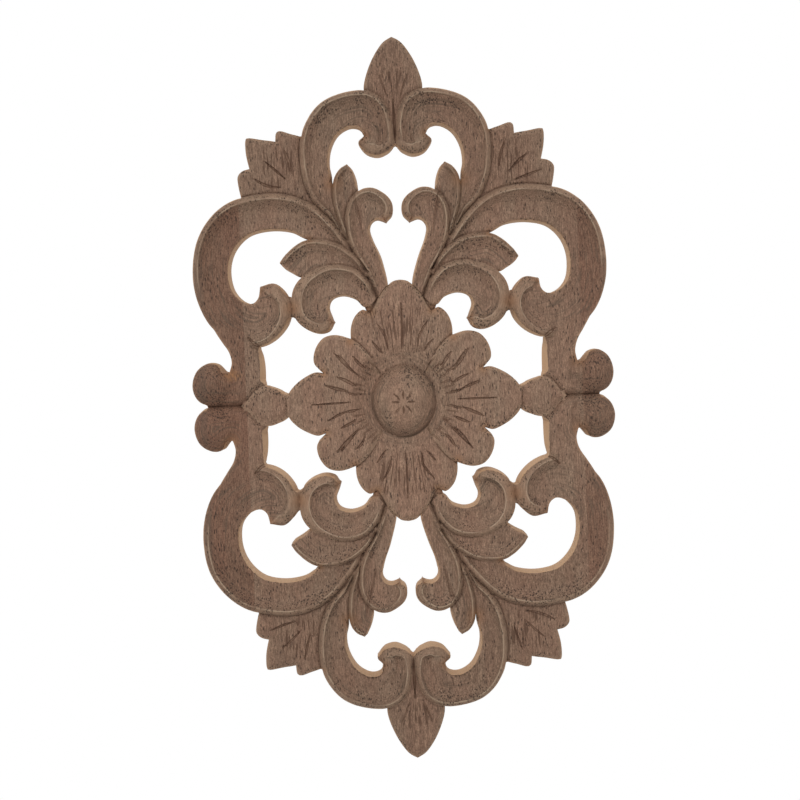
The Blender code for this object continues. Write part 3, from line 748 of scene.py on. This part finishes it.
def quarter_plan(shapes, cuts):
    """Triangles of one quarter's front in plan, along every outline, crest and cut."""
    pool = PointPool()
    edges = []
    lines = [run for number in range(len(shapes)) for run in outline_runs(number, shapes)]
    lines += [bank for cut in cuts for bank in cut.banks()] + relief_lines(shapes)
    for line in lines:
        numbers = [pool.add(point) for point in line]
        edges += [(a, b) for a, b in zip(numbers, numbers[1:]) if a != b]
    taken = np.array(pool.points)
    points = [Vector(point) for point in np.vstack([taken, lattice(taken, shapes)])]
    found = delaunay_2d_cdt(points, edges, [], 0, 1e-4, False)
    plan = np.array(found[0])
    plan[abs(plan) < 1e-3] = 0
    triangles = np.array(found[2])
    middles = plan[triangles].mean(1)
    solid = np.zeros(len(middles), bool)
    for motif in shapes:
        near = motif.close_to(middles, 0)
        solid[near] |= inside(middles[near], motif.outline)
    return plan, triangles[solid]


def whole_front():
    """Plan, relief and triangles of all four quarters, joined along the axes."""
    shapes = motifs()
    columns, triangles, places = [], [], {}
    for quarter, (right, up) in enumerate([(1, 1), (-1, 1), (-1, -1), (1, -1)]):
        random = np.random.default_rng(20 + quarter)
        cuts = all_cuts(random)
        plan, faces = quarter_plan(shapes, cuts)
        relief = np.stack(surface(plan, shapes, cuts), 1)
        numbers = np.zeros(len(plan), int)
        used = np.zeros(len(plan), bool)
        used[faces] = True
        for number in np.flatnonzero(used):
            u, v = plan[number] * (right, up)
            place = (round(u, 3) + 0.0, round(v, 3) + 0.0) if u == 0 or v == 0 else None
            if place in places and place is not None:
                numbers[number] = places[place]
                continue
            numbers[number] = len(columns)
            columns.append((u, v, *relief[number]))
            if place is not None:
                places[place] = numbers[number]
        if right * up < 0:
            faces = faces[:, ::-1]
        triangles.append(numbers[faces])
    return np.array(columns), np.vstack(triangles)


def waves(points, length, random, count=14):
    """A smooth random field of about unit size, with bumps of about the given length."""
    field = np.zeros(len(points))
    for _ in range(count):
        turn = random.uniform(0, 2 * np.pi)
        rate = 2 * np.pi / (length * random.uniform(0.7, 1.6))
        field += np.sin(rate * (points @ (np.cos(turn), np.sin(turn))) + random.uniform(0, 2 * np.pi))
    return field / np.sqrt(count / 2)


def border_edges(triangles):
    """Edges that belong to one triangle only, in that triangle's direction."""
    pairs = np.vstack([triangles[:, [0, 1]], triangles[:, [1, 2]], triangles[:, [2, 0]]])
    seen = set(map(tuple, pairs.tolist()))
    return np.array([pair for pair in seen if pair[::-1] not in seen])


def outward(plan, border):
    """Direction out of the wood at each point of the border, shorter in and near sharp corners."""
    run = plan[border[:, 1]] - plan[border[:, 0]]
    side = np.stack([run[:, 1], -run[:, 0]], 1)
    total = np.zeros_like(plan)
    length = np.zeros(len(plan))
    for end in (0, 1):
        np.add.at(total, border[:, end], side)
        np.add.at(length, border[:, end], np.linalg.norm(run, axis=1))
    size = np.maximum(np.linalg.norm(total, axis=1), 1e-9)
    straightness = (size / np.maximum(length, 1e-9)) ** 4
    for _ in range(4):
        for end in (0, 1):
            np.minimum.at(straightness, border[:, end], straightness[border[:, 1 - end]] + 0.25)
    return total * (straightness / size)[:, None]


def sawn_insets(plan, normal):
    """How far the back and the front stand back from the drawn outline at each border point.

    The outline is drawn as the photograph shows it. On edges that face the panel's middle, the
    near camera also sees the sawn wall, so there the front edge lies further back than the drawn one.
    """
    spread = RIM_HEIGHT * MM / VIEW_DISTANCE
    behind = plan * spread + (0, -RIM_HEIGHT * np.sin(VIEW_TILT))
    back = np.maximum(-(behind * normal).sum(1), 0)
    faces_axis = np.maximum(-normal * np.sign(plan), 0)
    clear_of_axis = smooth((abs(plan[:, 0]) - 2) / 3)
    side_draft = SIDE_DRAFT + STEM_DRAFT * bell(plan[:, 1], STEM_PLACE)
    draft = side_draft * faces_axis[:, 0] ** 2 * clear_of_axis + END_DRAFT * faces_axis[:, 1] ** 2
    margin = MARGIN * (1 - notch_burn(plan))
    return back - margin, back + draft - margin


def relaxed(shift, fixed, triangles, rounds=60):
    """A field of shifts that is kept on the fixed points and spread smoothly over the others."""
    pairs = np.vstack([triangles[:, [0, 1]], triangles[:, [1, 2]], triangles[:, [2, 0]]])
    pairs = np.vstack([pairs, pairs[:, ::-1]])
    count = np.bincount(pairs[:, 0], minlength=len(shift))[:, None]
    kept = shift[fixed]
    for _ in range(rounds):
        around = shift[pairs[:, 1]]
        total = [np.bincount(pairs[:, 0], around[:, axis], len(shift)) for axis in (0, 1)]
        shift = 0.97 * np.stack(total, 1) / np.maximum(count, 1)
        shift[fixed] = kept
    return shift


def back_triangles(plan, border):
    """The flat back, filled between the border lines alone."""
    numbers = np.unique(border)
    local = {number: place for place, number in enumerate(numbers)}
    points = [Vector(plan[number]) for number in numbers]
    edges = [(local[a], local[b]) for a, b in border]
    found = delaunay_2d_cdt(points, edges, [], 0, 1e-6, False)
    starts, ends = plan[border[:, 0]], plan[border[:, 1]]
    triangles = []
    for triangle in found[2]:
        middle = sum((found[0][corner] for corner in triangle), Vector((0, 0))) / 3
        spans = (starts[:, 1] > middle.y) != (ends[:, 1] > middle.y)
        run, rise = (ends - starts)[spans].T
        crossing = starts[spans, 0] + (middle.y - starts[spans, 1]) * run / rise
        if (crossing > middle.x).sum() % 2:
            triangles.append([numbers[corner] for corner in triangle])
    return triangles


def notch_burn(plan):
    """How strongly the saw scorched the wood at each point."""
    burn = np.zeros(len(plan))
    for u, v, reach in NOTCHES:
        burn = np.maximum(burn, bell(np.hypot(abs(plan[:, 0]) - u, abs(plan[:, 1]) - v), reach))
    return burn


def hand_wander(plan, random):
    """How far the hand-cut work strays sideways from the even design."""
    wander = np.stack([waves(plan, WANDER_LENGTH, random) for axis in (0, 1)], 1) * WANDER_REACH
    wander[:, 0] -= BOW * (1 - (plan[:, 1] / HALF_LENGTH) ** 2)
    for u, v, right, up in HAND_SHIFTS:
        wander += np.array([(right, up)]) * bell(np.linalg.norm(plan - (u, v), axis=1), HAND_REACH)[:, None]
    return wander


def carved_panel():
    """The whole carving as one closed mesh."""
    columns, triangles = whole_front()
    plan, height, marks = columns[:, :2], columns[:, 2], columns[:, 3:]
    border = border_edges(triangles)
    on_border = np.unique(border)
    normal = outward(plan, border)
    back_inset, front_inset = sawn_insets(plan, normal)
    shift = np.zeros_like(plan)
    shift[on_border] = -(normal * front_inset[:, None])[on_border]

    random = np.random.default_rng(7)
    for length, rise in RIPPLES:
        height = height + rise * waves(plan, length, random)
    height = np.clip(height, LOWEST_FRONT, BOSS)
    wander = hand_wander(plan, random)
    front_plan = plan + relaxed(shift, on_border, triangles) + wander
    back_plan = plan - normal * back_inset[:, None] + wander
    burn = notch_burn(plan)

    corners = [np.column_stack([front_plan[:, 0], -height, front_plan[:, 1]])]
    looks = [np.column_stack([marks, burn, np.isin(np.arange(len(plan)), on_border)])]
    faces = triangles[:, ::-1].tolist()
    first = len(plan)
    place = np.zeros(len(plan), int)
    place[on_border] = np.arange(len(on_border))
    above = np.arange(len(plan))
    wall_marks = np.where(np.isin(MARKS, ("crest", "stroke")), FAR, 0) * np.ones((len(on_border), 1))
    for share in WALL_ROWS:
        below = first + place
        row = back_plan[on_border] + (front_plan - back_plan)[on_border] * share
        corners.append(np.column_stack([row[:, 0], -share * height[on_border], row[:, 1]]))
        looks.append(np.column_stack([wall_marks, burn[on_border], np.ones(len(row))]))
        faces += [[above[a], above[b], below[b], below[a]] for a, b in border]
        above = below
        first += len(on_border)
    faces += [[above[corner] for corner in triangle] for triangle in back_triangles(back_plan, border)]
    return panel_object(np.vstack(corners), faces, np.vstack(looks))


def panel_object(corners, faces, looks):
    """The named object, with the marks kept on its points for the wood's colour."""
    mesh = bpy.data.meshes.new("panel_carving")
    mesh.from_pydata((corners * MM).tolist(), [], [list(map(int, face)) for face in faces])
    for name, values in zip(MARKS + ("burn", "side"), looks.T):
        mesh.attributes.new(name, "FLOAT", "POINT").data.foreach_set("value", values.astype(np.float32))
    mesh.shade_smooth()
    mesh.set_sharp_from_angle(angle=SHARP_EDGE)
    panel = bpy.data.objects.new("panel_carving", mesh)
    bpy.context.scene.collection.objects.link(panel)
    return panel


class Nodes:
    """A node tree, with a short way to add a node and to wire its inputs."""

    def __init__(self, tree):
        self.tree = tree
        tree.nodes.clear()

    def add(self, kind, inputs=None, output=0, **settings):
        """A new node's output. An input is a value, or another node's output."""
        node = self.tree.nodes.new(kind)
        for name, value in settings.items():
            setattr(node, name, value)
        for name, value in (inputs or {}).items():
            if isinstance(value, bpy.types.NodeSocket):
                self.tree.links.new(value, node.inputs[name])
            else:
                node.inputs[name].default_value = value
        return node.outputs[output] if node.outputs else None

    def math(self, operation, a, b=0.0):
        return self.add("ShaderNodeMath", {0: a, 1: b}, operation=operation)

    def times(self, a, b):
        return self.math("MULTIPLY", a, b)

    def most(self, a, b):
        return self.math("MAXIMUM", a, b)

    def without(self, share):
        """What is left of one."""
        return self.math("SUBTRACT", 1.0, share)

    def apart(self, a, b=0.0):
        """Distance between two values, or a value's size."""
        return self.math("ABSOLUTE", self.math("SUBTRACT", a, b))

    def vector(self, operation, a, b):
        return self.add("ShaderNodeVectorMath", {0: a, 1: b}, operation=operation)

    def mix(self, share, first, second, blend="MIX"):
        inputs = {0: share, 6: first, 7: second}
        return self.add("ShaderNodeMix", inputs, 2, data_type="RGBA", blend_type=blend)

    def dimmed(self, colour, share):
        return self.mix(1.0, colour, (share, share, share, 1.0), "MULTIPLY")

    def ramp(self, value, low, high, bottom=0.0, top=1.0):
        """The value mapped smoothly from one range to another."""
        inputs = {"Value": value, 1: low, 2: high, 3: bottom, 4: top}
        return self.add("ShaderNodeMapRange", inputs, interpolation_type="SMOOTHSTEP")

    def between(self, value, low, high, fade):
        """One between two values, falling to nothing within the fade on both sides of them."""
        return self.times(self.ramp(value, low - fade, low), self.ramp(value, high + fade, high))

    def part(self, vector, axis):
        return self.add("ShaderNodeSeparateXYZ", {0: vector}, axis)

    def place(self):
        """The point on the panel, in metres."""
        return self.add("ShaderNodeTexCoord", output=3)

    def attribute(self, name):
        return self.add("ShaderNodeAttribute", output=2, attribute_name=name)

    def grain(self, across, along):
        """Coordinates that are finer across the grain than along it, in millimetres per unit."""
        scale = (1 / (MM * across), 1 / (MM * across), 1 / (MM * along))
        return self.vector("MULTIPLY", self.place(), scale)

    def noise(self, space, detail=2.0, roughness=0.5):
        inputs = {"Vector": space, "Scale": 1.0, "Detail": detail, "Roughness": roughness}
        return self.add("ShaderNodeTexNoise", inputs)

    def streaks(self, grain, reach, detail=2.0, roughness=0.5, bottom=0.0, top=1.0):
        """Noise spaced across and along the grain as given, with its middle reach mapped smoothly."""
        return self.ramp(self.noise(self.grain(*grain), detail, roughness), *reach, bottom, top)


def pores(nodes, across, along, width, spread):
    """Open vessels: long thin hollows, cut across as dots and along as dashes."""
    space = nodes.grain(across, along)
    space = nodes.vector("ADD", space, nodes.vector("MULTIPLY", nodes.noise(space), (0.35, 0.35, 0.0)))
    distance = nodes.add("ShaderNodeTexVoronoi", {"Vector": space, "Scale": 1.0, "Randomness": 1.0})
    reach = nodes.streaks(spread, (0.35, 0.62), 1.0, bottom=0.45 * width, top=width)
    return nodes.ramp(distance, nodes.times(reach, 0.55), reach, 1.0, 0.0)


def wood_tone(nodes, slope):
    """Bare wood before the carving's own marks: mottled brown with streaks along the grain, and painted
    shade that makes steep slopes a little darker.
    """
    mottle = nodes.streaks((9.0, 30.0), (0.36, 0.66))
    tone = nodes.mix(mottle, RED_BROWN, GREY_BROWN)
    figure = nodes.streaks((2.4, 60.0), (0.3, 0.7), 3.0, 0.6)
    tone = nodes.mix(nodes.times(figure, 0.45), tone, FIGURE)
    # Painted shade: steep slopes are drawn a little darker
    tone = nodes.mix(nodes.times(slope, 0.1), tone, STEEP_SHADE)
    light = nodes.streaks((0.4, 5.0), (0.5, 0.7))
    tone = nodes.mix(nodes.times(light, 0.5), tone, LIGHT_STREAK)
    fine = nodes.streaks((0.24, 2.0), (0.45, 0.62), 3.0, 0.65)
    tone = nodes.mix(nodes.times(fine, 0.68), tone, DARK_STREAK)
    speckle = nodes.streaks((0.26, 0.45), (0.38, 0.62), 1.0)
    return nodes.mix(speckle, nodes.dimmed(tone, 0.85), nodes.dimmed(tone, 1.16)), fine


def glued_boards(nodes, tone):
    """The darker boards at both sides, and one dark streak in the left one."""
    across = nodes.part(nodes.place(), 0)
    boards = nodes.most(nodes.ramp(across, *LEFT_SEAM), nodes.times(nodes.ramp(across, *RIGHT_SEAM), 0.8))
    tone = nodes.mix(boards, tone, nodes.mix(1.0, tone, BOARD_SHADE, "MULTIPLY"))
    streak = nodes.times(nodes.ramp(nodes.apart(across, STREAK_PLACE), 0.0017, 0.0004), 0.4)
    return nodes.mix(streak, tone, STREAK)


def tool_marks(nodes):
    """Fine lines that follow the scrolls and circle the boss, where the cutter went round."""
    path = nodes.add("ShaderNodeCombineXYZ", {0: nodes.times(nodes.attribute("track"), 2.4)})
    path = nodes.vector("ADD", nodes.grain(7.0, 7.0), path)
    return nodes.times(nodes.ramp(nodes.noise(path, detail=1.0), 0.5, 0.68), nodes.attribute("turned"))


def fan_lines(nodes, middle, start, end, spread):
    """Fine strokes that spread from a point on the centre line, the same above and below."""
    up = nodes.part(nodes.place(), 2)
    height = nodes.apart(up)
    turn = nodes.math("ARCTAN2", nodes.part(nodes.place(), 0), nodes.math("SUBTRACT", height, middle * MM))
    rate = ((start + end) / 2 - middle) / FAN_PITCH
    path = nodes.add("ShaderNodeCombineXYZ", {0: nodes.times(turn, rate), 2: nodes.times(up, 130.0)})
    lines = nodes.ramp(nodes.noise(path, detail=1.0), 0.53, 0.60)
    reach = nodes.between(height, start * MM, end * MM, 2.0 * MM)
    width = nodes.ramp(nodes.apart(turn), spread, 0.75 * spread)
    return nodes.times(lines, nodes.times(reach, width))


def leaf_lines(nodes):
    """Fine strokes along the grain, on the four corner leaves."""
    across = nodes.apart(nodes.part(nodes.place(), 0))
    height = nodes.apart(nodes.part(nodes.place(), 2))
    lines = nodes.streaks((0.5, 7.0), (0.54, 0.61), 1.0)
    area = nodes.times(nodes.between(across, 27.5 * MM, 36.0 * MM, 2.0 * MM),
                       nodes.between(height, 61.0 * MM, 70.0 * MM, 2.5 * MM))
    return nodes.times(lines, area)


def fine_strokes(nodes, colour, side):
    """The finest lines of the front, as painted shade of fine grooves: on the upper and lower petals, the
    finials and the corner leaves.
    """
    petals = fan_lines(nodes, middle=-10.0, start=15.0, end=24.5, spread=0.30)
    finials = fan_lines(nodes, middle=77.0, start=84.8, end=90.0, spread=0.36)
    lines = nodes.times(nodes.most(nodes.most(petals, finials), leaf_lines(nodes)), nodes.without(side))
    return nodes.mix(nodes.times(lines, 0.74), colour, FINE_STROKE_SHADE)


def torn_grain(nodes, colour):
    """The raw orange patch in the notch beside the upper left curl, where the grain has torn out."""
    offset = nodes.vector("SUBTRACT", nodes.place(), TORN_PLACE)
    flat = nodes.vector("MULTIPLY", offset, (1.0, 0.0, 1.5))
    away = nodes.add("ShaderNodeVectorMath", {0: flat}, "Value", operation="LENGTH")
    rough = nodes.streaks((0.3, 1.2), (0.4, 0.6), bottom=0.1, top=0.75)
    return nodes.mix(nodes.times(nodes.ramp(away, 3.0 * MM, 1.2 * MM), rough), colour, TORN)


def painted_edge_light(nodes, tone):
    """Painted highlights on rounded edges and crests, broken in patches, each crest with a thin line of
    painted shade beside it.
    """
    # worn only breaks the painted highlight into patches
    worn = nodes.streaks((1.6, 3.0), (0.3, 0.7), bottom=0.35, top=0.9)
    colour = nodes.mix(nodes.times(nodes.attribute("pale"), worn), tone, EDGE_HIGHLIGHT)
    from_crest = nodes.attribute("crest")
    ridge = nodes.attribute("ridge")
    crest_highlight_breaks = nodes.streaks((6.0, 6.0), (0.35, 0.62), bottom=0.1, top=0.95)
    # Painted highlight along each crest, and a thin line of painted shade just beside it
    crest = nodes.times(nodes.ramp(nodes.apart(from_crest), 0.22, 0.07), ridge)
    colour = nodes.mix(nodes.times(crest, crest_highlight_breaks), colour, CREST_HIGHLIGHT)
    beside = nodes.times(nodes.ramp(nodes.apart(from_crest, 0.42), 0.24, 0.05), ridge)
    return nodes.mix(nodes.times(beside, 0.45), colour, CREST_SIDE_SHADE)


def sawn_sides(nodes, colour, side, wall):
    """The warm, fresh colour of the sawn walls and the back, scorched in the notches; the steep walls are
    made paler still with painted light that stands for light thrown back from the white behind.
    """
    colour = nodes.mix(nodes.times(side, 0.7), colour, SAWN_EDGE)
    colour = nodes.mix(nodes.times(wall, 0.85), colour, SAWN_WALL_AND_BOUNCE_LIGHT)
    return nodes.mix(nodes.times(nodes.attribute("burn"), 0.6), colour, SCORCHED)


def open_pores(nodes, facing, wall):
    """Long pores everywhere, and round ones where the carving cuts across the grain."""
    across_grain = nodes.ramp(nodes.apart(nodes.part(facing, 2)), 0.08, 0.36)
    long = pores(nodes, across=0.75, along=2.4, width=0.27, spread=(5.0, 14.0))
    short = pores(nodes, across=0.6, along=0.85, width=0.45, spread=(6.0, 12.0))
    short = nodes.times(short, nodes.ramp(across_grain, 0.0, 1.0, 0.12, 1.0))
    return nodes.times(nodes.most(long, short), nodes.without(nodes.times(wall, 0.7)))


def scored_strokes(nodes, colour):
    """Painted shade along both banks of each hand-cut stroke, and a weaker line of it along its middle."""
    stroke = nodes.attribute("stroke")
    banks = nodes.ramp(nodes.apart(stroke, BANK), 0.42, 0.1)
    lines = nodes.most(banks, nodes.ramp(stroke, 1.0, 0.6, 0.0, 0.22))
    lines = nodes.times(nodes.times(lines, nodes.attribute("scored")), 0.95)
    return nodes.mix(lines, colour, STROKE_SHADE)


def wood():
    """Bare hardwood with painted highlights on its edges, painted shade in its cuts, creases and on steep
    slopes, dark pores, and warm sawn walls made paler with painted light.
    """
    material = bpy.data.materials.new("carved_wood")
    material.use_nodes = True
    nodes = Nodes(material.node_tree)
    facing = nodes.add("ShaderNodeNewGeometry", output=1)
    flatness = nodes.apart(nodes.part(facing, 1))
    side = nodes.attribute("side")
    wall = nodes.times(nodes.ramp(flatness, 0.55, 0.25), side)

    tone, fine = wood_tone(nodes, nodes.ramp(flatness, 0.985, 0.84))
    marks = tool_marks(nodes)
    colour = nodes.mix(nodes.times(marks, 0.6), glued_boards(nodes, tone), TOOL_MARK)
    colour = sawn_sides(nodes, painted_edge_light(nodes, colour), side, wall)
    colour = torn_grain(nodes, fine_strokes(nodes, colour, side))
    hollows = open_pores(nodes, facing, wall)
    colour = nodes.mix(nodes.times(hollows, 0.88), colour, PORE)
    # Painted shade in the creases
    colour = nodes.mix(nodes.times(nodes.attribute("dark"), 0.58), colour, CREASE_SHADE)
    colour = scored_strokes(nodes, colour)

    relief = nodes.math("SUBTRACT", nodes.times(nodes.math("ADD", fine, marks), -0.35), hollows)
    bump = nodes.add("ShaderNodeBump", {"Strength": 0.6, "Distance": 0.15 * MM, "Height": relief})
    shader = nodes.add("ShaderNodeBsdfPrincipled", {"Base Color": colour, "Roughness": 0.72, "Normal": bump,
                                                    "Specular IOR Level": 0.25})
    nodes.add("ShaderNodeOutputMaterial", {"Surface": shader})
    return material


def stage_floor():
    """A plain pale floor, well below the panel and out of the photograph's view."""
    bpy.ops.mesh.primitive_circle_add(vertices=96, radius=FLOOR_RADIUS, fill_type="NGON",
                                      location=(0, 0, FLOOR_LEVEL))
    floor = bpy.context.object
    floor.name = "stage_floor"
    material = bpy.data.materials.new("stage_white")
    material.use_nodes = True
    shader = material.node_tree.nodes["Principled BSDF"]
    shader.inputs["Base Color"].default_value = STAGE_WHITE
    shader.inputs["Roughness"].default_value = 0.9
    floor.data.materials.append(material)


def white_surroundings():
    """White behind the panel, and a softer light from the camera's side, stronger from above."""
    world = bpy.data.worlds.new("studio")
    bpy.context.scene.world = world
    world.use_nodes = True
    nodes = Nodes(world.node_tree)
    direction = nodes.add("ShaderNodeTexCoord", output=0)
    behind = nodes.ramp(nodes.part(direction, 1), -0.85, 0.05)
    from_above = nodes.ramp(nodes.part(direction, 2), -0.8, 0.9, 0.48, 0.74)
    colour = nodes.mix(behind, from_above, STUDIO_WHITE)
    background = nodes.add("ShaderNodeBackground", {"Color": colour, "Strength": 1.0})
    nodes.add("ShaderNodeOutputWorld", {"Surface": background})


def soft_spot(name, location, beam, softness, power):
    """A soft light that points at the panel and fades towards its ends."""
    data = bpy.data.lights.new(name, "SPOT")
    data.spot_size = np.radians(beam)
    data.spot_blend = 1.0
    data.shadow_soft_size = softness
    data.energy = power
    light = bpy.data.objects.new(name, data)
    light.location = location
    light.rotation_euler = Vector(location).to_track_quat("Z", "Y").to_euler()
    bpy.context.scene.collection.objects.link(light)


def camera():
    """The photograph's view: straight on, a little from above, with the panel leaning left."""
    data = bpy.data.cameras.new("photo_view")
    data.sensor_width = 36.0
    data.lens = data.sensor_width * VIEW_DISTANCE / VIEW_WIDTH
    data.clip_start = 0.01
    eye = bpy.data.objects.new("photo_view", data)
    toward_eye = Vector((0, -np.cos(VIEW_TILT), np.sin(VIEW_TILT)))
    turn = toward_eye.to_track_quat("Z", "Y").to_matrix().to_4x4()
    eye.matrix_world = (Matrix.Translation(Vector(VIEW_AIM) + VIEW_DISTANCE * toward_eye)
                        @ turn @ Matrix.Rotation(-VIEW_LEAN, 4, "Z"))
    bpy.context.scene.collection.objects.link(eye)
    bpy.context.scene.camera = eye


def main():
    panel = carved_panel()
    panel.data.materials.append(wood())
    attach(panel, "root")
    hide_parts("carved_panel")
    stage_floor()
    white_surroundings()
    soft_spot("key_light", location=(-0.15, -0.93, 0.40), beam=12.0, softness=0.10, power=42.0)
    camera()
    bpy.context.scene.view_settings.view_transform = "Standard"


main()
